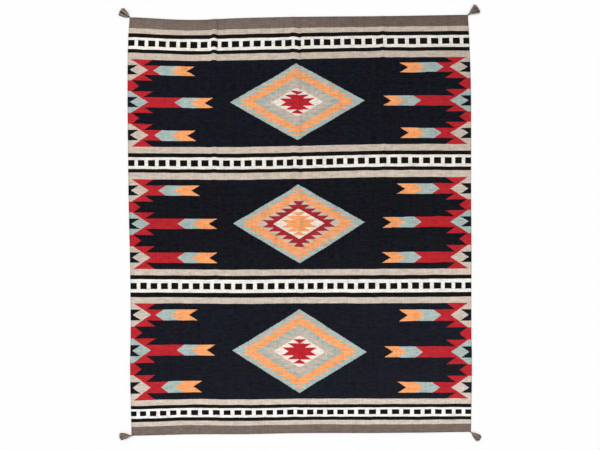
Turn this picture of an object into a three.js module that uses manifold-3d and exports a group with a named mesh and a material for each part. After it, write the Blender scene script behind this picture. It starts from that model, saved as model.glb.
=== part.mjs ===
// A flat-woven wool rug with a yarn tassel at each corner, lying flat on a floor.
// Millimetres, +Z up. X runs across the rug, Y runs along it to the far end,
// and the origin is the middle of the rug's underside.
import * as THREE from 'three';
import { mergeVertices } from 'three/addons/utils/BufferGeometryUtils.js';
import Module from 'manifold-3d';

const wasm = await Module();
wasm.setup();

// The cloth as it was woven
const WIDTH = 2430;
const LENGTH = 2960;
const THICKNESS = 4;

// Clearance between the cloth and each tassel that is tied to it
const GAP = 0.3;

// The selvedges are not straight: where each one runs, from the near end to the far end
const SELVEDGES = [
  { along: -1480, left: -1195, right: 1218 },
  { along: -1000, left: -1205, right: 1225 },
  { along: -750, left: -1201, right: 1221 },
  { along: -250, left: -1206, right: 1221 },
  { along: 200, left: -1216, right: 1219 },
  { along: 900, left: -1223, right: 1218 },
  { along: 1300, left: -1220, right: 1206 },
  { along: 1480, left: -1208, right: 1196 },
];

// The wefts are not straight either: how far each line has drifted towards the
// far end, at six places across the cloth
const DRIFT_PLACES = [-1170, -780, -425, 0, 600, 1175];
const DRIFTS = [
  { along: -1480, drift: [-17, -8, -7, 1, 2, 9] },
  { along: -1331, drift: [-13, -2, -5, 1, 2, 4] },
  { along: -434, drift: [1, -1, -3, 0, 1, 5] },
  { along: 446, drift: [-5, -7, -8, 0, 13, 13] },
  { along: 1295, drift: [-2, -16, -10, -1, 10, 14] },
  { along: 1480, drift: [-4, -22, -9, 0, 5, 14] },
];

// Soft ridges left by folding the rug in four. Each is highest at the far end,
// where it also pulls the wefts along with it.
const CREASES = [
  { across: -594, reach: 45, height: 8, pull: 7 },
  { across: -42, reach: 34, height: 5, pull: 4 },
  { across: 600, reach: 40, height: 4, pull: 3 },
];
const CREASE_LEFT_AT_NEAR_END = 0.25;
const CREASE_STEPS = [-1, -0.5, 0, 0.5, 1];

// Spacing of the flat cells between creases, and the number of rows of them
const CELL = 150;
const ROWS = 23;

// The tassels, each measured outwards from the corner that it is tied to. A
// small swell makes the strands spread at once, and a swell of 1 a straight fan.
const TASSELS = [
  { name: 'tassel_far_left', side: -1, end: 1, turn: 141, length: 84, width: 66, swell: 0.55 },
  { name: 'tassel_far_right', side: 1, end: 1, turn: 33, length: 86, width: 70, swell: 0.85 },
  { name: 'tassel_near_left', side: -1, end: -1, turn: 187, length: 87, width: 60, swell: 0.65 },
  { name: 'tassel_near_right', side: 1, end: -1, turn: -40, length: 83, width: 56, swell: 0.55 },
];
const STRAND_THICKNESS = 4.6;
const STRAND_ROOT_THICKNESS = 2.3;
const STRAND_STEPS = 4;
const STRAND_FILL = 0.8;
const STRAND_LAYERS = [
  { strands: 11, reach: 1 },
  { strands: 10, reach: 0.95 },
  { strands: 9, reach: 0.87 },
];
const LAYER_GAP = 0.4;

// The wrapped neck lies over the rug's corner and swells into the tassel's head
const NECK_OVERLAP = 9;
const NECK_RADIUS = 3.9;
const FAN_START = 13;
const HEAD_END = 25;
const HEAD_RADIUS = 7;
const HEAD_BREADTH = 1.35;
const FLOOR_CLEARANCE = 0.2;

// A smooth curve through a table's places and values, level past both ends
function smoothThrough(places, values, at) {
  const last = places.length - 1;
  if (at <= places[0]) return values[0];
  if (at >= places[last]) return values[last];
  const i = places.findIndex((place) => place > at) - 1;
  const slope = (k) => {
    const before = Math.max(k - 1, 0);
    const after = Math.min(k + 1, last);
    return (values[after] - values[before]) / (places[after] - places[before]);
  };
  const span = places[i + 1] - places[i];
  const t = (at - places[i]) / span;
  const rise = values[i + 1] - values[i];
  const start = slope(i) * span;
  const finish = slope(i + 1) * span;
  return values[i] + start * t + (3 * rise - 2 * start - finish) * t * t + (start + finish - 2 * rise) * t ** 3;
}

function smoothStep(low, high, at) {
  const t = Math.min(Math.max((at - low) / (high - low), 0), 1);
  return t * t * (3 - 2 * t);
}

// How strongly a crease shows at one place in the cloth, from 0 to 1
function creaseShape(crease, across, along) {
  const distance = Math.abs(across - crease.across) / crease.reach;
  if (distance >= 1) return 0;
  const far = (along / LENGTH + 0.5) ** 3;
  const strength = CREASE_LEFT_AT_NEAR_END + (1 - CREASE_LEFT_AT_NEAR_END) * far;
  return strength * (0.5 + 0.5 * Math.cos(Math.PI * distance));
}

// Where a point of the cloth, given by its place in the weave, lies on the floor
function clothPoint(across, along) {
  const alongs = SELVEDGES.map((row) => row.along);
  const left = smoothThrough(alongs, SELVEDGES.map((row) => row.left), along);
  const right = smoothThrough(alongs, SELVEDGES.map((row) => row.right), along);
  const drifts = DRIFTS.map((row) => smoothThrough(DRIFT_PLACES, row.drift, across));
  const point = new THREE.Vector3();
  point.x = left + (right - left) * (across / WIDTH + 0.5);
  point.y = along + smoothThrough(DRIFTS.map((row) => row.along), drifts, along);
  for (const crease of CREASES) {
    const shape = creaseShape(crease, across, along);
    point.y += crease.pull * shape;
    point.z += crease.height * shape;
  }
  return point;
}

// Columns of the cloth: close together on a crease, at most one cell apart elsewhere
function clothColumns() {
  const fixed = [-WIDTH / 2, WIDTH / 2];
  for (const crease of CREASES) {
    for (const step of CREASE_STEPS) fixed.push(crease.across + step * crease.reach);
  }
  fixed.sort((a, b) => a - b);
  const columns = [fixed[0]];
  for (let i = 1; i < fixed.length; i += 1) {
    const span = fixed[i] - fixed[i - 1];
    const parts = Math.ceil(span / CELL);
    for (let k = 1; k <= parts; k += 1) columns.push(fixed[i - 1] + (span * k) / parts);
  }
  return columns;
}

// Moves every vertex of a geometry by a function of its own position
function reshape(geometry, move) {
  const position = geometry.attributes.position;
  const vertex = new THREE.Vector3();
  for (let i = 0; i < position.count; i += 1) {
    move(vertex.fromBufferAttribute(position, i));
    position.setXYZ(i, vertex.x, vertex.y, vertex.z);
  }
  return geometry;
}

function clothGeometry() {
  const columns = clothColumns();
  const cells = columns.length - 1;
  const sheet = new THREE.BoxGeometry(WIDTH, LENGTH, THICKNESS, cells, ROWS, 1);
  return reshape(sheet, (vertex) => {
    const across = columns[Math.round((vertex.x / WIDTH + 0.5) * cells)];
    const point = clothPoint(across, vertex.y);
    vertex.set(point.x, point.y, point.z + vertex.z + THICKNESS / 2);
  });
}

// A closed geometry as a manifold solid, and back
function toSolid(geometry) {
  const bare = geometry.clone();
  for (const name of Object.keys(bare.attributes)) {
    if (name !== 'position') bare.deleteAttribute(name);
  }
  const merged = mergeVertices(bare);
  return new wasm.Manifold(new wasm.Mesh({
    numProp: 3,
    vertProperties: new Float32Array(merged.attributes.position.array),
    triVerts: new Uint32Array(merged.index.array),
  }));
}

function toGeometry(solid) {
  const mesh = solid.getMesh();
  const geometry = new THREE.BufferGeometry();
  geometry.setAttribute('position', new THREE.BufferAttribute(new Float32Array(mesh.vertProperties), 3));
  geometry.setIndex(new THREE.BufferAttribute(new Uint32Array(mesh.triVerts), 1));
  geometry.computeVertexNormals();
  return geometry;
}

// The wrapped neck and head, turned about the tassel's own axis, which is X here
function headGeometry() {
  const profile = [
    [0, -NECK_OVERLAP],
    [NECK_RADIUS * 0.7, -NECK_OVERLAP],
    [NECK_RADIUS, 1.5 - NECK_OVERLAP],
    [NECK_RADIUS, FAN_START * 0.35],
    [HEAD_RADIUS * 0.85, FAN_START],
    [HEAD_RADIUS, (FAN_START + HEAD_END) / 2],
    [HEAD_RADIUS * 0.75, HEAD_END - 2],
    [0, HEAD_END],
  ];
  const lathe = new THREE.LatheGeometry(profile.map(([r, x]) => new THREE.Vector2(r, x)), 12);
  lathe.rotateZ(-Math.PI / 2);
  return reshape(lathe, (vertex) => {
    const grown = smoothStep(0, FAN_START, vertex.x);
    const radius = NECK_RADIUS + (HEAD_RADIUS * 0.9 - NECK_RADIUS) * grown;
    vertex.y *= 1 + (HEAD_BREADTH - 1) * grown;
    vertex.z = Math.max(vertex.z * (1 - 0.1 * grown) + radius, 0) + FLOOR_CLEARANCE;
  });
}

// One loose strand: a square yarn that leaves the head, comes down and lies flat
function strandGeometry(tassel, layer, index) {
  const { strands, reach } = STRAND_LAYERS[layer];
  const place = (2 * index) / (strands - 1) - 1;
  const uneven = 0.025 * Math.sin(7 * index + 5 * layer + tassel.turn);
  const fan = (tassel.length - FAN_START) * (reach - 0.1 * place * place + uneven);
  const spread = tassel.width / 2 - STRAND_THICKNESS / 2;
  return reshape(new THREE.BoxGeometry(1, 1, 1, STRAND_STEPS, 1, 1), (vertex) => {
    const run = vertex.x + 0.5;
    const opening = (spread * Math.max(run, 0.02) ** tassel.swell * fan) / (tassel.length - FAN_START);
    const pitch = (2 * opening) / (strands - 1);
    const width = Math.min(STRAND_THICKNESS, STRAND_FILL * pitch);
    const grown = smoothStep(0, 0.5, run);
    const thickness = STRAND_ROOT_THICKNESS + (STRAND_THICKNESS - STRAND_ROOT_THICKNESS) * grown;
    const lift = 2.4 * (1 - smoothStep(0, 0.4, run)) + layer * (thickness + LAYER_GAP);
    vertex.set(
      FAN_START + 1 + run * fan,
      place * opening + vertex.y * width,
      lift + (vertex.z + 0.5) * thickness,
    );
  });
}

// The rug's corner as seen from the tassel, grown by the clearance
function cornerCut(tassel, corner) {
  const columns = clothColumns();
  const inner = tassel.side > 0 ? columns[columns.length - 2] : columns[1];
  const across = clothPoint(inner, (tassel.end * LENGTH) / 2).setZ(0).sub(corner).normalize();
  const along = clothPoint((tassel.side * WIDTH) / 2, tassel.end * (LENGTH / 2 - LENGTH / ROWS));
  along.setZ(0).sub(corner).normalize();
  const size = 60;
  const tip = new THREE.Vector3().addScaledVector(across, -GAP).addScaledVector(along, -GAP);
  const outline = [
    tip.clone(),
    tip.clone().addScaledVector(across, size),
    tip.clone().addScaledVector(across, size).addScaledVector(along, size),
    tip.clone().addScaledVector(along, size),
  ];
  const shape = new THREE.Shape(outline.map((point) => new THREE.Vector2(point.x, point.y)));
  const cut = new THREE.ExtrudeGeometry(shape, { depth: THICKNESS + GAP + 1, bevelEnabled: false });
  cut.translate(0, 0, -1);
  cut.rotateZ(-THREE.MathUtils.degToRad(tassel.turn));
  return cut;
}

function tasselGeometry(tassel, corner) {
  let solid = toSolid(headGeometry());
  STRAND_LAYERS.forEach(({ strands }, layer) => {
    for (let index = 0; index < strands; index += 1) {
      solid = solid.add(toSolid(strandGeometry(tassel, layer, index)));
    }
  });
  return toGeometry(solid.subtract(toSolid(cornerCut(tassel, corner))));
}

const wovenWool = new THREE.MeshStandardMaterial({ color: '#1b1b21', roughness: 0.92, metalness: 0 });
const tasselYarn = new THREE.MeshStandardMaterial({ color: '#7b6b61', roughness: 0.95, metalness: 0 });

const rug = new THREE.Group();

const cloth = new THREE.Mesh(clothGeometry(), wovenWool);
cloth.name = 'cloth';
rug.add(cloth);

for (const tassel of TASSELS) {
  const corner = clothPoint((tassel.side * WIDTH) / 2, (tassel.end * LENGTH) / 2).setZ(0);
  const mesh = new THREE.Mesh(tasselGeometry(tassel, corner), tasselYarn);
  mesh.name = tassel.name;
  mesh.position.copy(corner);
  mesh.rotation.z = THREE.MathUtils.degToRad(tassel.turn);
  rug.add(mesh);
}

export default rug;
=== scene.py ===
"""A flat-woven wool rug with a yarn tassel at each corner, on a pale studio floor."""
import math
import random
from collections import namedtuple
from functools import partial

import bmesh
import bpy
from bpy.props import FloatProperty, FloatVectorProperty, IntProperty, PointerProperty
from mathutils import Matrix, Vector, noise


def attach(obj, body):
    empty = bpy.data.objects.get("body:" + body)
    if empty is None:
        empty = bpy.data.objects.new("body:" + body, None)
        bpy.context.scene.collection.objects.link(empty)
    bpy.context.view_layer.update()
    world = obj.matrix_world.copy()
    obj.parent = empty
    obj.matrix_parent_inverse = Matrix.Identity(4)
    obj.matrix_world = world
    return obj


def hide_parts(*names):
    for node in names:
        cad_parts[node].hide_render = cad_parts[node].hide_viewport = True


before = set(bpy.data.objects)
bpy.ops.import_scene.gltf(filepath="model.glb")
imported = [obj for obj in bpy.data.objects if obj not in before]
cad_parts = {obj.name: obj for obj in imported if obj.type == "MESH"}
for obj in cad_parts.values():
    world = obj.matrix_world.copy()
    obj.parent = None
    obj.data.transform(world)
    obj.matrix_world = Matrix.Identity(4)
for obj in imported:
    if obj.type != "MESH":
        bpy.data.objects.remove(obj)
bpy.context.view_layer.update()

bl_info = {
    "name": "Flatweave Rug",
    "version": (1, 0, 0),
    "blender": (4, 5, 0),
    "location": "View3D > Sidebar > Rug",
    "description": "Weaves a wool rug, ties its corner tassels and lays it on a studio floor",
    "category": "Object",
}

# Sizes are given in millimetres, and the meshes are made in metres
MM = 0.001
# Points closer than this are welded
WELD = 0.01

# The cloth as it was woven
WIDTH = 2430
LENGTH = 2960
THICKNESS = 4

# Where each selvedge runs, from the near end to the far end
Selvedge = namedtuple("Selvedge", "along left right")
SELVEDGES = [
    Selvedge(-1480, -1195, 1218),
    Selvedge(-1000, -1205, 1225),
    Selvedge(-750, -1201, 1221),
    Selvedge(-250, -1206, 1221),
    Selvedge(200, -1216, 1219),
    Selvedge(900, -1223, 1218),
    Selvedge(1300, -1220, 1206),
    Selvedge(1480, -1208, 1196),
]

# Hand weaving isn't even. Each of these tables holds rows of shifts, in the order
# of its places across the cloth.
Shifts = namedtuple("Shifts", "along shifts")

# How far the weft lines have drifted towards the far end
DRIFT_PLACES = [-1170, -780, -425, 0, 600, 1175]
DRIFTS = [
    Shifts(-1480, [-17, -8, -7, 1, 2, 9]),
    Shifts(-1331, [-13, -2, -5, 1, 2, 4]),
    Shifts(-434, [1, -1, -3, 0, 1, 5]),
    Shifts(446, [-5, -7, -8, 0, 13, 13]),
    Shifts(1295, [-2, -16, -10, -1, 10, 14]),
    Shifts(1480, [-4, -22, -9, 0, 5, 14]),
]

# How far the arrows and diamonds lie towards the far end of where they should,
# at the near row of arrows, the middle and the far row of each dark panel
BEAT_PLACES = [-1100, -480, 0, 1100]
BEATS = [
    Shifts(-1151, [3, 4, 2, -8]), Shifts(-896, [8, 8, -2, -9]), Shifts(-641, [3, 2, -2, -2]),
    Shifts(-234, [2, 2, -2, 2]), Shifts(7, [4, 5, -1, 10]), Shifts(248, [2, 0, -5, 1]),
    Shifts(638, [6, 3, 1, 4]), Shifts(871, [8, 7, -2, 1]), Shifts(1103, [3, 3, 0, 8]),
]

# How far the squares were counted out of step, to the right
COUNT_PLACES = [-1192, -1040, -819, -521, -148, 151, 449, 748, 1046, 1190]
COUNTS = [
    Shifts(-1330, [-7, -17, -20, -9, -4, -17, -19, 4, 6, -3]),
    Shifts(-434, [-2, -6, -4, -1, 9, -14, -20, -9, 2, -2]),
    Shifts(446, [-3, -8, -4, 1, 7, -13, -13, -4, 5, 0]),
    Shifts(1296, [-2, -5, -3, -7, 2, -23, -28, -17, -1, 0]),
]

# Painted light and shade over the whole cloth, as the uneven light falls on it: the colours
# are painted darkest at the far right, darker over the middle panel and paler at the light bands
# near both ends.
PAINTED_LIGHT_LEVEL = 1.04
FAR_RIGHT_PAINTED_SHADE = 0.21
FAR_RIGHT_FROM = -100
FAR_RIGHT_FULL_AT = 1100
MIDDLE_PAINTED_SHADE = 0.1
MIDDLE_REACH = 420
ENDS_PAINTED_LIGHT = 0.06
ENDS_PLACE = 1300
ENDS_REACH = 180

# Soft ridges, and a dip, left by folding the rug in four. They are strongest at the
# far end, fall away quickly, and keep a small share of their height at the near end.
Crease = namedtuple("Crease", "across reach height pull")
CREASES = [
    Crease(-604, 32, 8, 9), Crease(-42, 34, 5, 5), Crease(6, 20, 0, -6), Crease(598, 34, 4, 4),
]
CREASE_LEFT_AT_NEAR_END = 0.15
CREASE_FALL = 4
# A crease pulls the wefts askew, but the far end itself stays straight
PULL_EASES_FROM = 1380
PULL_GONE_AT = 1470
# The cloth's waves die out towards the corners, which lie flat under their tassels
CALM_REACH = 60
WAVES_FROM = 260

# Painted shade along the creases, where the folds' ridges shade the cloth:
# each line is full past one place and gone before another
CreaseShadow = namedtuple("CreaseShadow", "across half_width darkening gone_at full_at")
CREASE_SHADOWS = [
    CreaseShadow(-581, 9, 0.32, 1150, 1300), CreaseShadow(8, 22, 0.14, -900, 600), CreaseShadow(606, 13, 0.12, 0, 500),
]

# The rounded rim with its thicker edge cord: distance from the edge, share of
# half the thickness, and place in the pattern beyond the woven edge. At a corner,
# where two rims meet, the cord is no higher than the highest share.
Rim = namedtuple("Rim", "inset height reach")
RIM = [
    Rim(0, 0, 6),
    Rim(0.6, 0.62, 3.5),
    Rim(1.8, 1.02, 0.5),
    Rim(3.6, 1.2, -3.6),
    Rim(5.6, 1.1, -5.6),
    Rim(8, 1, -8),
]
HIGHEST_RIM = 1.25
# How far the pattern's map runs past the woven edge
EDGE_REACH = 6
UV_MAP = "OFBake"
# The mesh's spacing on flat cloth, and over a crease
CELL = 15
CREASE_CELL = 7

# The yarn of each band, from the far end, and where its far edge lies
Band = namedtuple("Band", "yarn far_edge")
BANDS = [
    Band("brown", 1490), Band("sand", 1401), Band("black", 1365), Band("cream", 1337),
    Band("black", 1253), Band("sand", 1226), Band("field", 1181), Band("sand", 561),
    Band("black", 515), Band("cream", 488), Band("black", 404), Band("sand", 376),
    Band("field", 328), Band("sand", -314), Band("black", -358), Band("cream", -387),
    Band("black", -481), Band("sand", -513), Band("field", -556), Band("sand", -1236),
    Band("black", -1275), Band("cream", -1299), Band("black", -1363), Band("sand", -1387),
    Band("brown", -1419),
]

# Rows of black squares on the cream bands
Squares = namedtuple("Squares", "middle half_height width")
SQUARE_ROWS = [
    Squares(1296, 22, 51), Squares(446, 22, 50), Squares(-434, 22, 49), Squares(-1330, 17, 48),
]
SQUARE_PITCH = 74.6
# Where a square's middle lies in its pitch and how far chance moves it, as shares,
# and how far chance lifts or lowers it
SQUARE_PLACE = 0.31
SQUARE_CHANCE = 0.03
SQUARE_LIFT = 1

# The three dark panels, from the far end, each with a stepped diamond in its middle
Panel = namedtuple("Panel", "far near")
PANELS = [Panel(1181, 561), Panel(328, -314), Panel(-556, -1236)]
Medallion = namedtuple("Medallion", "middle half_length across half_width")
MEDALLIONS = [
    Medallion(876, 272, -15, 477),
    Medallion(11, 281, -9, 468),
    Medallion(-897, 299, -10, 477),
]

# The steps of a diamond from outside in, in shares of its half width. A serrated
# step starts each row at its reach and runs outwards along the row. Where it has
# a neck, that and its flare join its last row, at the tips, to the rest.
Step = namedtuple("Step", "yarn middle_yarn serrated reach row_loss row_gain neck")
STEPS = [
    Step("sage", "sage", False, 1.0, 0, 0, 0),
    Step("orange", "orange", True, 0.774, 0.0963, 0.077, 0),
    Step("grey", "sand", False, 0.648, 0, 0, 0),
    Step("greige", "maroon", True, 0.468, 0.0945, 0.086, 0.034),
    Step("ivory", "ivory", False, 0.388, 0, 0, 0),
    Step("red", "orange", True, 0.168, 0.0815, 0.096, 0),
]
# A row's height, as a share of the diamond's half length, and how many rows a neck joins
STEP_ROW = 0.0975
NECK_ROWS = 6
NECK_FLARE = 0.053

# The arrows at the selvedges, from the far end: how far each colour reaches
# from the selvedge on the arrow's middle line
Arrow = namedtuple("Arrow", "red sage orange")
LEFT_ARROWS = [
    Arrow(180, 310, 415), Arrow(330, 445, 540), Arrow(184, 309, 419),
    Arrow(208, 323, 443), Arrow(342, 447, 562), Arrow(334, 439, 559),
    Arrow(176, 286, 411), Arrow(329, 434, 539), Arrow(214, 319, 444),
]
RIGHT_ARROWS = [
    Arrow(184, 319, 434), Arrow(348, 468, 558), Arrow(206, 321, 436),
    Arrow(220, 340, 460), Arrow(348, 468, 563), Arrow(348, 468, 568),
    Arrow(209, 329, 449), Arrow(342, 462, 557), Arrow(221, 341, 461),
]
# The arrows start a few millimetres inside the selvedges, a little further on the right
ARROW_MIDDLE = -1
ARROW_START = 1211
# The arrows are counted in rows, sixteen to a panel, and are nearly two rows high
ARROW_ROWS = 16
ARROW_HALF_HEIGHT = 0.92

# A tapestry weave: a warp every 4.8 mm, and a weft beaten down to 2.4 mm. Single
# yarns are too fine to show, so ribs and picks are drawn three times as coarse.
WARP_SPACING = 4.8
WEFT_SPACING = 2.4
COARSER = 3

# How the shade varies: over dye lots, lengths of weft, the yarn's own heather, and
# the ribs of single warps
Variation = namedtuple("Variation", "reach_across reach_along strength")
SHADES = [
    Variation(900, 60, 0.08), Variation(70, 10, 0.34),
    Variation(16, 9, 0.2), Variation(12, 260, 0.14),
]
# Stray pale fibres lift the dark yarns in specks, along warps and along picks
SPECKS = [Variation(38, 12, 0.018), Variation(13, 500, 0.007), Variation(500, 9, 0.007)]

# The tassels: the corner, the way they point in degrees, and how far and how soon they open
Tassel = namedtuple("Tassel", "name side end turn length width swell")
TASSELS = [
    Tassel("tassel_far_left", -1, 1, 145, 84, 76, 0.38),
    Tassel("tassel_far_right", 1, 1, 35, 92, 84, 0.72),
    Tassel("tassel_near_left", -1, -1, 183.5, 87, 61, 0.5),
    Tassel("tassel_near_right", 1, -1, -38.5, 84, 62, 0.46),
]
Layer = namedtuple("Layer", "strands reach")
LAYERS = [Layer(14, 1.0), Layer(12, 0.95), Layer(11, 0.86)]
STRAND_SIDES = 8
STRAND_RINGS = 18
# How deep the groove between the two plies is, as a share of the radius
PLY_GROOVE = 0.22
# How much shorter the outer strands are than the middle one
OUTER_SHORTER = 0.15
# How high each layer rests, in strand radii, and how far apart the layers leave the neck
LAYER_REST = 1.02
LAYER_RISE = 1.75
LAYER_SPREAD = 1.8
SETTLED_AT = 0.42
FAN_START = 13
NECK_HEIGHT = 6.2

# How thick the neck's core is along its length
NeckRing = namedtuple("NeckRing", "along radius")
NECK_CORE = [
    NeckRing(1, 0), NeckRing(1.5, 2), NeckRing(4, 2.8),
    NeckRing(12, 3.2), NeckRing(17, 2.4), NeckRing(19, 0),
]
# The thinner yarn that is wound round the neck
WINDING_START = 3.2
WINDING_REACH = 3.7
WINDING_RADIUS = 1.25
WINDING_TURNS = 4.5
WINDING_PITCH = 2.2
WINDING_STEPS = 12
# The cord that holds the neck, which passes over the corner and into the cloth
TiePoint = namedtuple("TiePoint", "along height")
TIE = [
    TiePoint(-12, 1.9), TiePoint(-9, 3.8), TiePoint(-5, 5.9),
    TiePoint(1, 6.5), TiePoint(5, NECK_HEIGHT), TiePoint(12, NECK_HEIGHT),
]
TIE_RADIUS = 1.9
TIE_TWIST = 9
TIE_SHADE = 0.2

# The photograph's frame: 600 pixels of 7.11 mm at the floor, a little to the right
VIEW_WIDTH = 600 * 7.11
VIEW_MIDDLE = 2.8
VIEW_SENSOR = 36
FLOOR_REACH = 30_000
# The soft key light: the way to it, and how wide it looks, in degrees
KEY_FROM = (-0.6, 0.55, 1)
KEY_SOFTNESS = 35

# A Mix node that mixes colours takes them as its inputs 6 and 7
COLOUR_MIX = {"output": 2, "data_type": "RGBA"}


def linear(hex_colour):
    """The linear colour of an sRGB hex code."""
    shares = [int(hex_colour[i:i + 2], 16) / 255 for i in (1, 3, 5)]
    return [s / 12.92 if s <= 0.04045 else ((s + 0.055) / 1.055) ** 2.4 for s in shares]


def colour_property(name, description, hex_colour):
    """A colour that the user can change."""
    return FloatVectorProperty(
        name=name, description=description, default=linear(hex_colour),
        subtype="COLOR", min=0, max=1,
    )


class RugYarnSettings(bpy.types.PropertyGroup):
    """The dyed yarns of the cloth and the undyed yarn of the tassels."""

    field: colour_property("Field", "Near-black ground of the three panels", "#14161F")
    black: colour_property("Black", "Narrow bands and squares", "#13110F")
    cream: colour_property("Cream", "Bands behind the squares", "#EEE9E1")
    white: colour_property("White", "What the cream nears at the near end", "#F0EFEC")
    ivory: colour_property("Ivory", "Inner step of the diamonds", "#F1E4D8")
    sand: colour_property("Sand", "Bands beside the squares", "#C7B7A8")
    brown: colour_property("Brown", "End bands", "#776861")
    umber: colour_property("Umber", "Darker lot in the right half of the far end band", "#6F6056")
    red: colour_property("Red", "Arrows and diamonds", "#B9272F")
    maroon: colour_property("Maroon", "Serrated ring of the middle diamond", "#A42B30")
    orange: colour_property("Orange", "Arrow tips and diamonds", "#F8A56B")
    sage: colour_property("Sage", "Arrows and diamonds", "#A8B9B4")
    grey: colour_property("Grey", "Middle ring of the outer diamonds", "#96B1AD")
    greige: colour_property("Greige", "Ring round the ivory step", "#D2B7A4")
    tassel_light: colour_property("Tassel light", "Lightest tassel strands", "#A8948A")
    tassel_dark: colour_property("Tassel dark", "Darkest tassel strands", "#3C2F29")


class RugClothSettings(bpy.types.PropertyGroup):
    """How the cloth lies on the floor."""

    ripple: FloatProperty(
        name="Ripple", description="Height of the cloth's gentle waves above the floor",
        default=1.4 * MM, min=0, max=5 * MM, unit="LENGTH", precision=4,
    )
    ripple_span: FloatProperty(
        name="Ripple span", description="Distance from one wave to the next",
        default=0.36, min=0.1, max=2, unit="LENGTH",
    )


class RugTasselSettings(bpy.types.PropertyGroup):
    """The yarn of the four tassels."""

    strand_radius: FloatProperty(
        name="Strand radius", description="Half the thickness of one plied strand",
        default=2.3 * MM, min=1 * MM, max=4 * MM, unit="LENGTH", precision=4,
    )
    seed: IntProperty(
        name="Seed", description="Changes how the strands fall", default=7, min=0,
    )


class RugStageSettings(bpy.types.PropertyGroup):
    """The floor, the lights and the camera."""

    floor: colour_property("Floor", "Pale studio floor", "#FBFBFB")
    sky: FloatProperty(
        name="Sky", description="Brightness of the even light from all sides",
        default=0.72, min=0, max=5,
    )
    key: FloatProperty(
        name="Key", description="Strength of the soft light from the far left",
        default=1.25, min=0, max=20,
    )
    lens: FloatProperty(
        name="Lens", description="Focal length of the camera",
        default=85, min=20, max=300, subtype="DISTANCE_CAMERA",
    )


def smooth_through(places, values, at):
    """A smooth curve through a table's places and values, level past both ends."""
    last = len(places) - 1
    if at <= places[0]:
        return values[0]
    if at >= places[last]:
        return values[last]
    i = next(k for k, place in enumerate(places) if place > at) - 1

    def slope(k):
        before, after = max(k - 1, 0), min(k + 1, last)
        return (values[after] - values[before]) / (places[after] - places[before])

    span = places[i + 1] - places[i]
    t = (at - places[i]) / span
    rise = values[i + 1] - values[i]
    start, finish = slope(i) * span, slope(i + 1) * span
    bend = 3 * rise - 2 * start - finish
    return values[i] + start * t + bend * t ** 2 + (start + finish - 2 * rise) * t ** 3


def shift_at(rows, places, across, along):
    """What a table of shifts gives at one place in the cloth."""
    shifts = [smooth_through(places, row.shifts, across) for row in rows]
    return smooth_through([row.along for row in rows], shifts, along)


def smooth_step(low, high, at):
    """A smooth rise from 0 at low to 1 at high."""
    t = min(max((at - low) / (high - low), 0), 1)
    return t * t * (3 - 2 * t)


def light_and_shade_at(across, along):
    """The painted light and shade at one place in the cloth, as a share of its colour."""
    middle = 1 - smooth_step(0, MIDDLE_REACH, abs(along))
    ends = 1 - smooth_step(0, ENDS_REACH, abs(abs(along) - ENDS_PLACE))
    far_right = smooth_step(FAR_RIGHT_FROM, FAR_RIGHT_FULL_AT, along) * (across / WIDTH + 0.5)
    return PAINTED_LIGHT_LEVEL - MIDDLE_PAINTED_SHADE * middle + ENDS_PAINTED_LIGHT * ends - FAR_RIGHT_PAINTED_SHADE * far_right


def crease_shape(crease, across, along):
    """How strongly a crease shows at one place in the cloth, from 0 to 1."""
    distance = abs(across - crease.across) / crease.reach
    if distance >= 1:
        return 0
    far = (along / LENGTH + 0.5) ** CREASE_FALL
    strength = CREASE_LEFT_AT_NEAR_END + (1 - CREASE_LEFT_AT_NEAR_END) * far
    return strength * (0.5 + 0.5 * math.cos(math.pi * distance))


def cloth_point(across, along):
    """Where a place in the weave lies on the floor, in millimetres."""
    alongs = [row.along for row in SELVEDGES]
    left = smooth_through(alongs, [row.left for row in SELVEDGES], along)
    right = smooth_through(alongs, [row.right for row in SELVEDGES], along)
    point = Vector((
        left + (right - left) * (across / WIDTH + 0.5),
        along + shift_at(DRIFTS, DRIFT_PLACES, across, along),
        0,
    ))
    for crease in CREASES:
        shape = crease_shape(crease, across, along)
        point.y += crease.pull * shape * (1 - smooth_step(PULL_EASES_FROM, PULL_GONE_AT, along))
        point.z += crease.height * shape
    return point


def put(tree, kind, *feeds, output=0, **settings):
    """Adds one node with its settings and links, and gives one of its outputs.

    A kind such as Math:ADD also names the operation. A feed is a number, a colour
    or a socket for the next input, or a pair of an input's name or number and its feed.
    """
    kind, _, operation = kind.partition(":")
    node = tree.nodes.new("ShaderNode" + kind)
    if operation:
        node.operation = operation
    for name, value in settings.items():
        setattr(node, name, value)
    for place, feed in enumerate(feeds):
        if isinstance(feed, tuple) and len(feed) == 2:
            place, feed = feed
        if isinstance(feed, bpy.types.NodeSocket):
            tree.links.new(feed, node.inputs[place])
        else:
            node.inputs[place].default_value = feed
    return node.outputs[output] if node.outputs else None


def new_material(name):
    """An empty node material, and the function that adds nodes to it."""
    material = bpy.data.materials.new(name)
    material.use_nodes = True
    material.node_tree.nodes.clear()
    return material, partial(put, material.node_tree)


def by_panel(add, second, third, values):
    """A number that has one value for each of the three panels."""
    start, middle, end = values
    number = add("Math:MULTIPLY_ADD", second, middle - start, start)
    return add("Math:MULTIPLY_ADD", third, end - middle, number)


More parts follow.
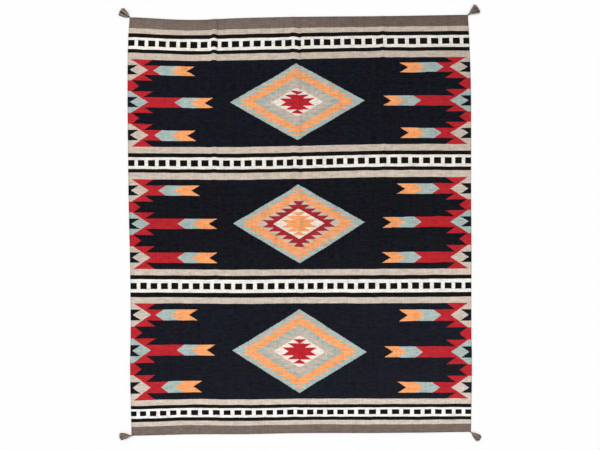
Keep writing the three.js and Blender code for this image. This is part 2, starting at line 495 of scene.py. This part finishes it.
def bands_and_squares(add, dyes, along):
    """The bands from selvedge to selvedge, with squares on the cream ones."""
    colour = dyes[BANDS[0].yarn]
    for band in BANDS[1:]:
        nearer = add("Math:LESS_THAN", along, band.far_edge)
        colour = add("Mix", nearer, (6, colour), (7, dyes[band.yarn]), **COLOUR_MIX)

    # No two squares are quite alike, in place along the row or across it
    count = add("Attribute", output=2, attribute_name="squares")
    chance = add("TexWhiteNoise", ("W", add("Math:FLOOR", count)), noise_dimensions="1D")
    middle = add("Math:MULTIPLY_ADD", chance, SQUARE_CHANCE, SQUARE_PLACE)
    lowest = add("Math:SUBTRACT", along, SQUARE_LIFT)
    moved = add("Math:MULTIPLY_ADD", chance, 2 * SQUARE_LIFT, lowest)
    squares = 0
    for row in SQUARE_ROWS:
        inside = add("Math:COMPARE", moved, row.middle, row.half_height)
        half_width = row.width / SQUARE_PITCH / 2
        columns = add("Math:COMPARE", add("Math:FRACT", count), middle, half_width)
        squares = add("Math:MULTIPLY_ADD", inside, columns, squares)
    return add("Mix", squares, (6, colour), (7, dyes["black"]), **COLOUR_MIX)


def diamonds(add, dyes, across, along, second, third):
    """The masks and yarns of the stepped diamonds, from outside in."""
    columns = list(zip(*MEDALLIONS))
    middle, half_length, centre, half_width = (
        by_panel(add, second, third, column) for column in columns
    )
    x = add("Math:DIVIDE", add("Math:ABSOLUTE", add("Math:SUBTRACT", across, centre)), half_width)
    y = add("Math:DIVIDE", add("Math:ABSOLUTE", add("Math:SUBTRACT", along, middle)), half_length)
    both = add("Math:ADD", x, y)
    rows = add("Math:DIVIDE", y, STEP_ROW)
    row, share = add("Math:FLOOR", rows), add("Math:FRACT", rows)
    necked = add("Math:LESS_THAN", rows, NECK_ROWS)
    in_middle_panel = add("Math:SUBTRACT", second, third)
    layers = []
    outer = None
    for step in STEPS:
        if step.serrated:
            reach = add("Math:MULTIPLY_ADD", row, -step.row_loss, step.reach)
            reach = add("Math:MULTIPLY_ADD", share, step.row_gain, reach)
            if step.neck:
                neck = add("Math:MULTIPLY_ADD", share, NECK_FLARE, step.neck)
                reach = add("Math:MAXIMUM", reach, add("Math:MULTIPLY", necked, neck))
            mask = add("Math:MULTIPLY", outer, add("Math:LESS_THAN", x, reach))
        else:
            mask = outer = add("Math:LESS_THAN", both, step.reach)
        yarn = dyes[step.yarn]
        if step.middle_yarn != step.yarn:
            middle_yarn = dyes[step.middle_yarn]
            yarn = add("Mix", in_middle_panel, (6, yarn), (7, middle_yarn), **COLOUR_MIX)
        layers.append((mask, yarn))
    return layers


def arrows(add, dyes, across, along, second, third):
    """The masks and yarns of the arrows and half hexagons at the selvedges."""
    top = by_panel(add, second, third, [panel.far for panel in PANELS])
    row = by_panel(add, second, third, [(p.far - p.near) / ARROW_ROWS for p in PANELS])
    rows = add("Math:DIVIDE", add("Math:SUBTRACT", top, along), row)
    inside = add("Math:COMPARE", rows, ARROW_ROWS / 2, ARROW_ROWS / 2)
    # Rows from the nearest arrow's middle line, which repeats every six rows
    off = add("Math:PINGPONG", add("Math:SUBTRACT", rows, 2), 3)
    motif = add("Math:FLOOR", add("Math:MULTIPLY_ADD", rows, 1 / 6, 1 / 6))
    depth = add("Math:ABSOLUTE", add("Math:SUBTRACT", across, ARROW_MIDDLE))
    depth = add("Math:SUBTRACT", ARROW_START, depth)

    # Each arrow has its own length. The table is looked up by panel and motif.
    number = add("Math:MULTIPLY_ADD", add("Math:ADD", second, third), 3, motif)
    share = 1 / len(LEFT_ARROWS)
    number = add("Math:MULTIPLY_ADD", number, share, share / 2)
    reaches = []
    for table in (LEFT_ARROWS, RIGHT_ARROWS):
        looked_up = add("ValToRGB", number)
        ramp = looked_up.node.color_ramp
        ramp.interpolation = "CONSTANT"
        for place, arrow in enumerate(table):
            stop = ramp.elements[place] if place < 1 else ramp.elements.new(place * share)
            stop.position = place * share
            stop.color = [reach * MM for reach in arrow] + [1]
        while len(ramp.elements) > len(table):
            ramp.elements.remove(ramp.elements[-1])
        reaches.append(looked_up)
    on_right = add("Math:GREATER_THAN", across, 0)
    reaches = add("Mix", on_right, (6, reaches[0]), (7, reaches[1]), **COLOUR_MIX)
    reaches = add("VectorMath:SCALE", reaches, ("Scale", 1 / MM))
    red, sage, orange = add("SeparateXYZ", reaches).node.outputs

    near_middle = add("Math:LESS_THAN", off, ARROW_HALF_HEIGHT)
    on_arrow = add("Math:MULTIPLY", inside, near_middle)
    beside = add("Math:LESS_THAN", off, 2)
    beside = add("Math:MULTIPLY", inside, add("Math:SUBTRACT", beside, near_middle))
    between = add("Math:MULTIPLY", inside, add("Math:GREATER_THAN", off, 2))
    middle_motif = add("Math:COMPARE", motif, 1, 0.1)
    edge_yarn = add("Mix", middle_motif, (6, dyes["sand"]), (7, dyes["sage"]), **COLOUR_MIX)
    # Where it applies, how fast its edge slopes along the rug, its edge at the start, its yarn
    pieces = [
        (between, 55, -85, dyes["red"]),
        (beside, 61, 53, dyes["red"]),
        (beside, -62, 142, edge_yarn),
        (on_arrow, 67, orange, dyes["orange"]),
        (on_arrow, 60, sage, dyes["sage"]),
        (on_arrow, 59, red, dyes["red"]),
        (on_arrow, -65, 143, edge_yarn),
        (on_arrow, 65, 13, dyes["field"]),
    ]
    layers = []
    for where, slope, start, yarn in pieces:
        edge = add("Math:MULTIPLY_ADD", off, slope, start)
        mask = add("Math:MULTIPLY", where, add("Math:LESS_THAN", depth, edge))
        layers.append((mask, yarn))
    return layers


def woven_wool(yarns):
    """Hand-spun wool, dyed in small lots and beaten into a tight tapestry weave.

    To the eye it is matt and dense. Colour changes are crisp but step from warp to
    warp, and each colour drifts a little from lot to lot and from pick to pick.
    """
    material, add = new_material("Hand-woven dyed wool")

    # Place in the weave, in millimetres from the middle of the rug
    place = add("SeparateXYZ", add("UVMap", uv_map=UV_MAP)).node.outputs
    across_span = WIDTH + 2 * EDGE_REACH
    along_span = LENGTH + 2 * EDGE_REACH
    across = add("Math:MULTIPLY_ADD", place[0], across_span, -across_span / 2)
    along = add("Math:MULTIPLY_ADD", place[1], along_span, -along_span / 2)
    weave = add("CombineXYZ", across, along)

    # Hand weaving wanders by 1 or 2 mm over a hand's width
    spread = add("VectorMath:MULTIPLY", weave, (1 / 140, 1 / 110, 0))
    wander = add("TexNoise", spread, ("Scale", 1), ("Detail", 2), output=1, noise_dimensions="2D")
    wander = add("VectorMath:MULTIPLY_ADD", wander, (9, 6, 0), (-4.5, -3, 0))
    wandering = add("VectorMath:ADD", weave, wander)
    # Colours change only at a warp and a weft
    snapped = add("VectorMath:SNAP", wandering, (WARP_SPACING, WEFT_SPACING, 1))
    snapped = add("VectorMath:ADD", snapped, (WARP_SPACING / 2, WEFT_SPACING / 2, 0))
    across_yarn, along_yarn, _ = add("SeparateXYZ", snapped).node.outputs

    dyes = {name: (*getattr(yarns, name), 1) for name in yarns.__annotations__}
    second = add("Math:LESS_THAN", along, SQUARE_ROWS[1].middle)
    third = add("Math:LESS_THAN", along, SQUARE_ROWS[2].middle)
    # The dark ground was dyed in lots that lean to blue and to brown, with more
    # of the brown in the middle panel
    spread = add("VectorMath:MULTIPLY", weave, (1 / 240, 1 / 70, 0))
    lots = add("TexNoise", spread, ("Scale", 1), ("Detail", 3), noise_dimensions="2D")
    lots = add("MapRange", lots, 0.4, 0.6, 0, 0.25)
    lots = add("Math:ADD", lots, by_panel(add, second, third, [0, 0.2, 0]))
    ground = add("Mix", lots, (6, dyes["field"]), (7, dyes["black"]), **COLOUR_MIX)
    # The dark yarns are lifted towards the near end, most of all on the right
    near = add("MapRange", along, 200, -LENGTH / 2)
    near = add("Math:MULTIPLY", near, add("MapRange", across, -WIDTH / 2, WIDTH / 2, 0.6, 1.3))
    dyes["field"] = add("VectorMath:MULTIPLY_ADD", near, (0.0037, 0.0037, 0.0057), ground)
    black = tuple(yarns.black)
    dyes["black"] = add("VectorMath:MULTIPLY_ADD", near, (0.0014, 0.0014, 0.0007), black)

    # The sand yarn pales and the cream yarn whitens towards the near end
    paling = add("MapRange", along, 1300, -1300, 0.04, 0.2)
    dyes["sand"] = add("Mix", paling, (6, dyes["sand"]), (7, dyes["cream"]), **COLOUR_MIX)
    whitening = add("MapRange", along, 300, -1400)
    dyes["cream"] = add("Mix", whitening, (6, dyes["cream"]), (7, dyes["white"]), **COLOUR_MIX)
    # The far end band was finished with a darker lot of brown, from its middle on
    far = add("Math:GREATER_THAN", along, 0)
    finish = add("Math:MULTIPLY", add("MapRange", across, -80, 520), far)
    dyes["brown"] = add("Mix", finish, (6, dyes["brown"]), (7, dyes["umber"]), **COLOUR_MIX)

    # The grey and the greige of the diamonds' ring are streaked with each other
    spread = add("VectorMath:MULTIPLY", weave, (1 / 34, 1 / 8, 0))
    streaks = add("TexNoise", spread, ("Scale", 1), ("Detail", 1), noise_dimensions="2D")
    ring = (6, dyes["grey"]), (7, dyes["greige"])
    for name, least, most in [("grey", 0.05, 0.35), ("greige", 0.9, 0.5)]:
        share = add("MapRange", streaks, 0.38, 0.62, least, most)
        dyes[name] = add("Mix", share, *ring, **COLOUR_MIX)

    colour = bands_and_squares(add, dyes, along_yarn)
    started = add("Math:SUBTRACT", along_yarn, add("Attribute", output=2, attribute_name="beat"))
    layers = diamonds(add, dyes, across_yarn, started, second, third)
    layers += arrows(add, dyes, across_yarn, started, second, third)
    for mask, yarn in layers:
        colour = add("Mix", mask, (6, colour), (7, yarn), **COLOUR_MIX)

    # Each pick of weft has its own shade
    picked = add("VectorMath:SNAP", wandering, (0.1, COARSER * WEFT_SPACING, 1))
    shade = 1 - sum(variation.strength for variation in SHADES)
    for reach_across, reach_along, strength in SHADES:
        spread = add("VectorMath:MULTIPLY", picked, (1 / reach_across, 1 / reach_along, 0))
        cloud = add("TexNoise", spread, ("Scale", 1), ("Detail", 2), noise_dimensions="2D")
        shade = add("Math:MULTIPLY_ADD", cloud, 2 * strength, shade)
    # Ribs over the warps, crossed by the wefts, half a pick apart on every other rib
    rib_place, pick_place, _ = add("SeparateXYZ", wandering).node.outputs
    ribs = add("Math:MULTIPLY", rib_place, 1 / (COARSER * WARP_SPACING))
    odd = add("Math:FLOORED_MODULO", add("Math:FLOOR", ribs), 2)
    picks = add("Math:MULTIPLY", pick_place, 1 / (COARSER * WEFT_SPACING))
    picks = add("Math:MULTIPLY_ADD", odd, 0.5, picks)
    rib = add("Math:ABSOLUTE", add("Math:SINE", add("Math:MULTIPLY", ribs, math.pi)))
    pick = add("Math:ABSOLUTE", add("Math:SINE", add("Math:MULTIPLY", picks, math.pi)))
    crowns = add("Math:MULTIPLY", rib, pick)
    fuzz = add("TexNoise", weave, ("Scale", 0.35), ("Detail", 4), noise_dimensions="2D")
    height = add("Math:MULTIPLY_ADD", fuzz, 0.7, crowns)
    relief = add("Bump", ("Strength", 0.8), ("Distance", 1.2 * MM), ("Height", height))

    # Little light reaches the grooves between the yarns
    shade = add("Math:MULTIPLY", shade, add("Math:MULTIPLY_ADD", crowns, 0.12, 0.95))
    # Painted shade darkens the outer centimetre of the cloth, where its rim rounds down
    inset_across = add("Math:SUBTRACT", WIDTH / 2, add("Math:ABSOLUTE", across))
    inset_along = add("Math:SUBTRACT", LENGTH / 2, add("Math:ABSOLUTE", along))
    inset = add("Math:MINIMUM", inset_across, inset_along)
    edge_shade = add("MapRange", inset, 0, 12, 0.8, 1)
    shade = add("Math:MULTIPLY", shade, edge_shade)
    # Painted light and shade over the whole cloth, carried by the vertices
    shade = add("Math:MULTIPLY", shade, add("Attribute", output=2, attribute_name="fade"))
    # Painted shade along each crease
    for shadow_line in CREASE_SHADOWS:
        off = add("Math:ABSOLUTE", add("Math:SUBTRACT", across, shadow_line.across))
        painted_shadow = add("MapRange", off, 0, shadow_line.half_width, shadow_line.darkening, 0)
        painted_shadow = add("Math:MULTIPLY", painted_shadow, add("MapRange", along, shadow_line.gone_at, shadow_line.full_at))
        shade = add("Math:MULTIPLY", shade, add("Math:SUBTRACT", 1, painted_shadow))
    colour = add("VectorMath:SCALE", colour, ("Scale", shade))
    # The hue varies a little too, because the fleece was never one colour
    spread = add("VectorMath:MULTIPLY", picked, (1 / 60, 1 / 14, 0))
    fleece = add("TexNoise", spread, ("Scale", 1), ("Detail", 1), output=1, noise_dimensions="2D")
    hue = add("VectorMath:MULTIPLY_ADD", fleece, (0.12, 0.09, 0.16), (0.94, 0.955, 0.92))
    colour = add("VectorMath:MULTIPLY", colour, hue)
    for reach_across, reach_along, strength in SPECKS:
        spread = add("VectorMath:MULTIPLY", weave, (1 / reach_across, 1 / reach_along, 0))
        settings = {"output": 1, "noise_dimensions": "2D"}
        specks = add("TexNoise", spread, ("Scale", 1), ("Detail", 2), **settings)
        specks = add("VectorMath:MULTIPLY_ADD", specks, (strength,) * 3, (-strength / 2,) * 3)
        colour = add("VectorMath:ADD", colour, specks)
    colour = add("VectorMath:MAXIMUM", colour, (0.002, 0.002, 0.002))

    roughness = add("MapRange", fuzz, 0.3, 0.7, 0.84, 0.96)
    shader = add(
        "BsdfPrincipled", ("Base Color", colour), ("Roughness", roughness),
        ("IOR", 1.55), ("Specular IOR Level", 0.05), ("Sheen Weight", 0.02),
        ("Sheen Roughness", 0.5), ("Normal", relief),
    )
    add("OutputMaterial", shader)
    return material


def tassel_yarn(yarns):
    """Undyed brown wool, loosely plied from two singles and cut.

    To the eye each strand has its own shade and a soft halo of loose fibre. A noise over
    the strands is partly their heather and partly painted light and shade: lighter patches
    for crowns and darker ones where the strands part.
    """
    material, add = new_material("Undyed plied wool")
    place = add("TexCoord", output=3)
    own = add("Attribute", output=2, attribute_name="shade")
    # Partly the yarn's own heather, partly painted light on crowns and painted shade where
    # strands part
    heather_and_shade = add("TexNoise", place, ("Scale", 260), ("Detail", 2))
    shade = add("Math:MULTIPLY_ADD", heather_and_shade, 0.9, add("Math:MULTIPLY_ADD", own, 1.5, -0.7))
    shade = add("Math:MINIMUM", add("Math:MAXIMUM", shade, 0), 1)
    dark, light = (*yarns.tassel_dark, 1), (*yarns.tassel_light, 1)
    colour = add("Mix", shade, (6, dark), (7, light), **COLOUR_MIX)
    # Single fibres are far too fine to show, so the fuzz is drawn 1 mm coarse
    fuzz = add("TexNoise", place, ("Scale", 1000), ("Detail", 3))
    relief = add("Bump", ("Strength", 0.7), ("Distance", 0.5 * MM), ("Height", fuzz))
    roughness = add("MapRange", fuzz, 0.3, 0.7, 0.86, 0.98)
    shader = add(
        "BsdfPrincipled", ("Base Color", colour), ("Roughness", roughness),
        ("IOR", 1.55), ("Specular IOR Level", 0.15), ("Sheen Weight", 0.08),
        ("Sheen Roughness", 0.5), ("Normal", relief),
    )
    add("OutputMaterial", shader)
    return material


def studio_floor(settings):
    """Matt painted board: almost white, with the faint tooth of a roller."""
    material, add = new_material("Matt painted board")
    place = add("TexCoord", output=3)
    tooth = add("TexNoise", place, ("Scale", 90), ("Detail", 3))
    relief = add("Bump", ("Strength", 0.1), ("Distance", 0.3 * MM), ("Height", tooth))
    roughness = add("MapRange", tooth, 0.3, 0.7, 0.88, 0.96)
    shader = add(
        "BsdfPrincipled", ("Base Color", (*settings.floor, 1)), ("Roughness", roughness),
        ("Specular IOR Level", 0.1), ("Normal", relief),
    )
    add("OutputMaterial", shader)
    return material


def make_piece(name, bm, material):
    """A finished object at the origin, with its place in its mesh."""
    mesh = bpy.data.meshes.new(name)
    bm.to_mesh(mesh)
    bm.free()
    mesh.materials.append(material)
    mesh.polygons.foreach_set("use_smooth", [True] * len(mesh.polygons))
    piece = bpy.data.objects.new(name, mesh)
    bpy.context.scene.collection.objects.link(piece)
    return piece


def mesh_lines(span, creases=()):
    """The mesh's lines over one span of the cloth: place, pattern place and height."""
    half = span / 2
    stops = [RIM[-1].inset - half, half - RIM[-1].inset]
    for crease in creases:
        stops += [crease.across - crease.reach, crease.across + crease.reach]
    stops.sort()
    lines = [(rim.inset - half, -half - rim.reach, rim.height) for rim in RIM[:-1]]
    for start, end in zip(stops, stops[1:]):
        middle = (start + end) / 2
        creased = any(abs(middle - crease.across) < crease.reach for crease in creases)
        parts = math.ceil((end - start) / (CREASE_CELL if creased else CELL))
        for k in range(parts):
            place = start + (end - start) * k / parts
            lines.append((place, place, 1))
    lines.append((stops[-1], stops[-1], 1))
    lines += [(half - rim.inset, half + rim.reach, rim.height) for rim in RIM[-2::-1]]
    return lines


def woven_sheet(settings):
    """The closed mesh of the cloth, as it lies."""
    columns, rows = mesh_lines(WIDTH, CREASES), mesh_lines(LENGTH)
    bm = bmesh.new()
    uv = bm.loops.layers.uv.new(UV_MAP)
    beat = bm.verts.layers.float.new("beat")
    squares = bm.verts.layers.float.new("squares")
    fade = bm.verts.layers.float.new("fade")
    bmesh.ops.create_grid(bm, x_segments=len(columns) - 1, y_segments=len(rows) - 1, size=1)
    # The panels' own edges are where they should be
    edges = [Shifts(edge, [0] * len(BEAT_PLACES)) for panel in PANELS for edge in panel]
    beats = sorted(BEATS + edges)
    line = {}
    for vert in bm.verts:
        i = round((vert.co.x + 1) / 2 * (len(columns) - 1))
        j = round((vert.co.y + 1) / 2 * (len(rows) - 1))
        line[vert] = i, j
        across, along = columns[i][1], rows[j][1]
        vert[beat] = shift_at(beats, BEAT_PLACES, across, along)
        miscount = shift_at(COUNTS, COUNT_PLACES, across, along)
        vert[squares] = (across + WIDTH / 2 - miscount) / SQUARE_PITCH
        # Painted light and shade, which the material multiplies into the colour
        vert[fade] = light_and_shade_at(across, along)
    across_span = WIDTH + 2 * EDGE_REACH
    along_span = LENGTH + 2 * EDGE_REACH
    for face in bm.faces:
        for loop in face.loops:
            i, j = line[loop.vert]
            loop[uv].uv = columns[i][1] / across_span + 0.5, rows[j][1] / along_span + 0.5

    floor_points = {}
    for vert in bm.verts:
        i, j = line[vert]
        across, along = columns[i][0], rows[j][0]
        point = cloth_point(across, along)
        corner = math.hypot(WIDTH / 2 - abs(across), LENGTH / 2 - abs(along))
        calm = smooth_step(CALM_REACH, WAVES_FROM, corner)
        wave = noise.noise(Vector((across, along, 0)) * MM / settings.ripple_span)
        point.z += calm * max(wave, 0) * 2 * settings.ripple / MM
        floor_points[vert] = point

    top = list(bm.verts)
    copy = bmesh.ops.duplicate(bm, geom=top + list(bm.edges) + list(bm.faces))
    partner = copy["vert_map"]
    under = {partner[vert]: vert for vert in top}
    copied_faces = [item for item in copy["geom"] if isinstance(item, bmesh.types.BMFace)]
    bmesh.ops.reverse_faces(bm, faces=copied_faces)
    for vert in list(bm.verts):
        source = under.get(vert, vert)
        i, j = line[source]
        height = min(columns[i][2] * rows[j][2], HIGHEST_RIM)
        point = floor_points[source].copy()
        if vert in under:
            point.z += THICKNESS / 2 * (1 - min(height, 1))
        else:
            point.z += THICKNESS / 2 * (1 + height)
        vert.co = point * MM
    bmesh.ops.remove_doubles(bm, verts=bm.verts, dist=WELD * MM)
    return bm


def yarn_length(sides, rings):
    """A straight round yarn of unit radius and unit length along Z, as a mesh."""
    bm = bmesh.new()
    bmesh.ops.create_cone(
        bm, cap_ends=True, cap_tris=False, segments=sides, radius1=1, radius2=1, depth=1,
    )
    lengthwise = [e for e in bm.edges if abs(e.verts[0].co.z - e.verts[1].co.z) > 0.5]
    bmesh.ops.subdivide_edges(bm, edges=lengthwise, cuts=rings - 1, use_grid_fill=True)
    mesh = bpy.data.meshes.new("yarn")
    bm.to_mesh(mesh)
    bm.free()
    return mesh


def lay_yarn(bm, yarn, shade_layer, route, radius, twist, shade):
    """Bends a length of yarn along a route, with the lobes of its two plies."""
    laid = len(bm.verts)
    bm.from_mesh(yarn)
    bm.verts.ensure_lookup_table()
    for vert in bm.verts[laid:]:
        run = vert.co.z + 0.5
        angle = math.atan2(vert.co.y, vert.co.x)
        inside = math.hypot(vert.co.x, vert.co.y)
        ahead = route(min(run + 0.02, 1)) - route(max(run - 0.02, 0))
        ahead.normalize()
        side = ahead.cross(Vector((0, 0, 1))).normalized()
        up = side.cross(ahead)
        lobes = 1 - PLY_GROOVE + PLY_GROOVE * abs(math.cos(angle - twist * run))
        size = radius(run) * lobes * inside
        vert.co = route(run) + (side * math.cos(angle) + up * math.sin(angle)) * size
        vert[shade_layer] = shade


def fan_route(tassel, layer, place, radius, rng):
    """The route of one strand from the neck to its loose end."""
    reach = LAYERS[layer].reach - OUTER_SHORTER * place ** 2 + rng.uniform(-0.045, 0.045)
    fan = (tassel.length - FAN_START) * reach
    spread = (tassel.width / 2 - radius) * reach
    sway = rng.uniform(0.4, 1.4)
    phase = rng.uniform(0, math.tau)
    waves = rng.uniform(3, 6)
    stray = rng.uniform(-1.6, 1.6)
    lift = rng.uniform(0, 0.8)
    rest = radius * (LAYER_REST + LAYER_RISE * layer) + lift
    clump = place + 0.07 * math.sin(7 * place + 2 * layer + tassel.turn)

    def route(share):
        # A strand starts a tenth of its run inside the neck
        run = 1.1 * share - 0.1
        opening = spread * max(run, 0.02) ** tassel.swell
        settled = smooth_step(0, SETTLED_AT, run)
        return Vector((
            FAN_START + run * fan,
            clump * opening + max(run, 0) * (stray + sway * math.sin(phase + waves * run)),
            (NECK_HEIGHT + LAYER_SPREAD * (layer - 1)) * (1 - settled) + rest * settled,
        ))

    return route


def tassel_mesh(tassel, settings):
    """Loose plied strands that fan out from a bound neck tied over the rug's corner."""
    rng = random.Random(f"{tassel.name} {settings.seed}")
    bm = bmesh.new()
    shade_layer = bm.verts.layers.float.new("shade")
    strand = yarn_length(STRAND_SIDES, STRAND_RINGS)
    radius = settings.strand_radius / MM

    def strand_size(share):
        # A strand is half as thick in the neck, and thins at its cut end
        swelling = 0.5 + 0.5 * smooth_step(0, 0.45, share)
        return radius * swelling * (1 - 0.35 * smooth_step(0.95, 1, share))

    for layer, (strands, _) in enumerate(LAYERS):
        for index in range(strands):
            place = 2 * index / (strands - 1) - 1
            route = fan_route(tassel, layer, place, radius, rng)
            twist = rng.uniform(8, 11)
            lay_yarn(bm, strand, shade_layer, route, strand_size, twist, rng.uniform(0.1, 0.9))

    # The neck's core, which the strands leave
    core = [bm.verts.new((ring.along, 0, NECK_HEIGHT + ring.radius)) for ring in NECK_CORE]
    core += [bm.edges.new(pair) for pair in zip(core, core[1:])]
    bmesh.ops.spin(
        bm, geom=core, cent=(0, 0, NECK_HEIGHT), axis=(1, 0, 0), angle=math.tau,
        steps=14, use_merge=True,
    )
    # A thinner yarn is wound round it
    start = Matrix.Translation((WINDING_START, 0, NECK_HEIGHT + WINDING_REACH))
    place = start @ Matrix.Rotation(math.pi / 2, 4, "X")
    ring = bmesh.ops.create_circle(bm, segments=7, radius=WINDING_RADIUS, matrix=place)["verts"]
    ring += dict.fromkeys(edge for vert in ring for edge in vert.link_edges)
    bmesh.ops.spin(
        bm, geom=ring, cent=(0, 0, NECK_HEIGHT), axis=(1, 0, 0), angle=WINDING_TURNS * math.tau,
        steps=int(WINDING_TURNS * WINDING_STEPS), dvec=(WINDING_PITCH / WINDING_STEPS, 0, 0),
    )
    bmesh.ops.holes_fill(bm, edges=[edge for edge in bm.edges if edge.is_boundary])

    stops, heights = zip(*TIE)

    def tie(share):
        x = stops[0] + (stops[-1] - stops[0]) * share
        return Vector((x, 0, smooth_through(stops, heights, x)))

    lay_yarn(bm, strand, shade_layer, tie, lambda share: TIE_RADIUS, TIE_TWIST, TIE_SHADE)

    bmesh.ops.remove_doubles(bm, verts=bm.verts, dist=WELD)
    bmesh.ops.recalc_face_normals(bm, faces=bm.faces)
    corner = cloth_point(tassel.side * WIDTH / 2, tassel.end * LENGTH / 2)
    corner.z = 0
    place = (
        Matrix.Scale(MM, 4) @ Matrix.Translation(corner)
        @ Matrix.Rotation(math.radians(tassel.turn), 4, "Z")
    )
    bmesh.ops.transform(bm, matrix=place, verts=bm.verts)
    bpy.data.meshes.remove(strand)
    return bm


class RUG_OT_tie_tassels(bpy.types.Operator):
    """Make the four corner tassels"""

    bl_idname = "rug.tie_tassels"
    bl_label = "Tie Tassels"

    def execute(self, context):
        material = tassel_yarn(context.scene.rug_yarns)
        for tassel in TASSELS:
            bm = tassel_mesh(tassel, context.scene.rug_tassels)
            piece = make_piece("yarn_" + tassel.name, bm, material)
            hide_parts(tassel.name)
            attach(piece, "root")
        return {"FINISHED"}


class RUG_OT_weave_cloth(bpy.types.Operator):
    """Weave the patterned cloth and lay it on the floor"""

    bl_idname = "rug.weave_cloth"
    bl_label = "Weave Cloth"

    def execute(self, context):
        material = woven_wool(context.scene.rug_yarns)
        piece = make_piece("woven_cloth", woven_sheet(context.scene.rug_cloth), material)
        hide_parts("cloth")
        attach(piece, "root")
        return {"FINISHED"}


class RUG_OT_set_stage(bpy.types.Operator):
    """Set up the floor, the soft lights and the camera"""

    bl_idname = "rug.set_stage"
    bl_label = "Set Stage"

    def execute(self, context):
        scene = context.scene
        settings = scene.rug_stage
        bm = bmesh.new()
        bmesh.ops.create_grid(bm, x_segments=4, y_segments=4, size=FLOOR_REACH * MM)
        make_piece("studio_floor", bm, studio_floor(settings))

        scene.world = bpy.data.worlds.new("Studio light")
        scene.world.use_nodes = True
        sky = scene.world.node_tree.nodes["Background"]
        sky.inputs["Color"].default_value = (1, 1, 1, 1)
        sky.inputs["Strength"].default_value = settings.sky

        light = bpy.data.lights.new("Soft key", "SUN")
        light.energy = settings.key
        light.angle = math.radians(KEY_SOFTNESS)
        key = bpy.data.objects.new("Soft key", light)
        key.rotation_euler = Vector(KEY_FROM).to_track_quat("Z", "Y").to_euler()
        scene.collection.objects.link(key)

        lens = bpy.data.cameras.new("Camera")
        lens.lens = settings.lens
        lens.sensor_width = VIEW_SENSOR
        lens.clip_end = 200
        camera = bpy.data.objects.new("Camera", lens)
        distance = VIEW_WIDTH * settings.lens / VIEW_SENSOR
        camera.location = (VIEW_MIDDLE * MM, 0, distance * MM)
        scene.collection.objects.link(camera)
        scene.camera = camera
        scene.view_settings.view_transform = "Standard"
        return {"FINISHED"}


class RUG_PT_rug(bpy.types.Panel):
    """Lists the steps that make the rug, with their settings"""

    bl_idname = "RUG_PT_rug"
    bl_label = "Flatweave Rug"
    bl_space_type = "VIEW_3D"
    bl_region_type = "UI"
    bl_category = "Rug"

    def draw(self, context):
        for operator, group in PANEL_ROWS:
            column = self.layout.column(align=True)
            if operator:
                column.operator(operator)
            settings = getattr(context.scene, group)
            for name in settings.__annotations__:
                column.prop(settings, name)


PANEL_ROWS = [
    (None, "rug_yarns"),
    (RUG_OT_tie_tassels.bl_idname, "rug_tassels"),
    (RUG_OT_weave_cloth.bl_idname, "rug_cloth"),
    (RUG_OT_set_stage.bl_idname, "rug_stage"),
]

SETTINGS = {
    "rug_yarns": RugYarnSettings,
    "rug_tassels": RugTasselSettings,
    "rug_cloth": RugClothSettings,
    "rug_stage": RugStageSettings,
}

CLASSES = [
    *SETTINGS.values(),
    RUG_OT_tie_tassels,
    RUG_OT_weave_cloth,
    RUG_OT_set_stage,
    RUG_PT_rug,
]


def register():
    for cls in CLASSES:
        bpy.utils.register_class(cls)
    for name, group in SETTINGS.items():
        setattr(bpy.types.Scene, name, PointerProperty(type=group))


def unregister():
    for name in SETTINGS:
        delattr(bpy.types.Scene, name)
    for cls in reversed(CLASSES):
        bpy.utils.unregister_class(cls)


def main():
    register()
    bpy.ops.rug.tie_tassels()
    bpy.ops.rug.weave_cloth()
    bpy.ops.rug.set_stage()


if __name__ == "__main__":
    main()
